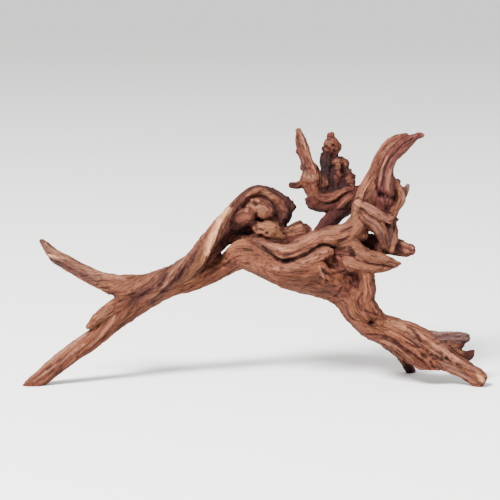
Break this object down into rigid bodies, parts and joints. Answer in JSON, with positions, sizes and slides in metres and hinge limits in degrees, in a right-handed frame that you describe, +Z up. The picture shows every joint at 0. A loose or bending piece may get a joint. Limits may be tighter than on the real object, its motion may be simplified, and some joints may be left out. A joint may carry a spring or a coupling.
{
  "type": "driftwood piece",
  "caption": "Weathered arched root of driftwood with a forked leg, a hooded bough, a horned knot of branches and a splayed foot; stands on its feet as aquarium or terrarium decor.",
  "frame": {"origin": "on the floor, under the middle of the wood's box", "axes": "+X along the length towards the splayed foot, +Y away from the side that the picture shows, +Z up"},
  "size_m": [0.4652, 0.104, 0.2518],
  "materials": {
    "weathered_wood": "bare, weathered, matt"
  },
  "bodies": {
    "root": {"driftwood": "weathered_wood"}
  },
  "joints": []
}
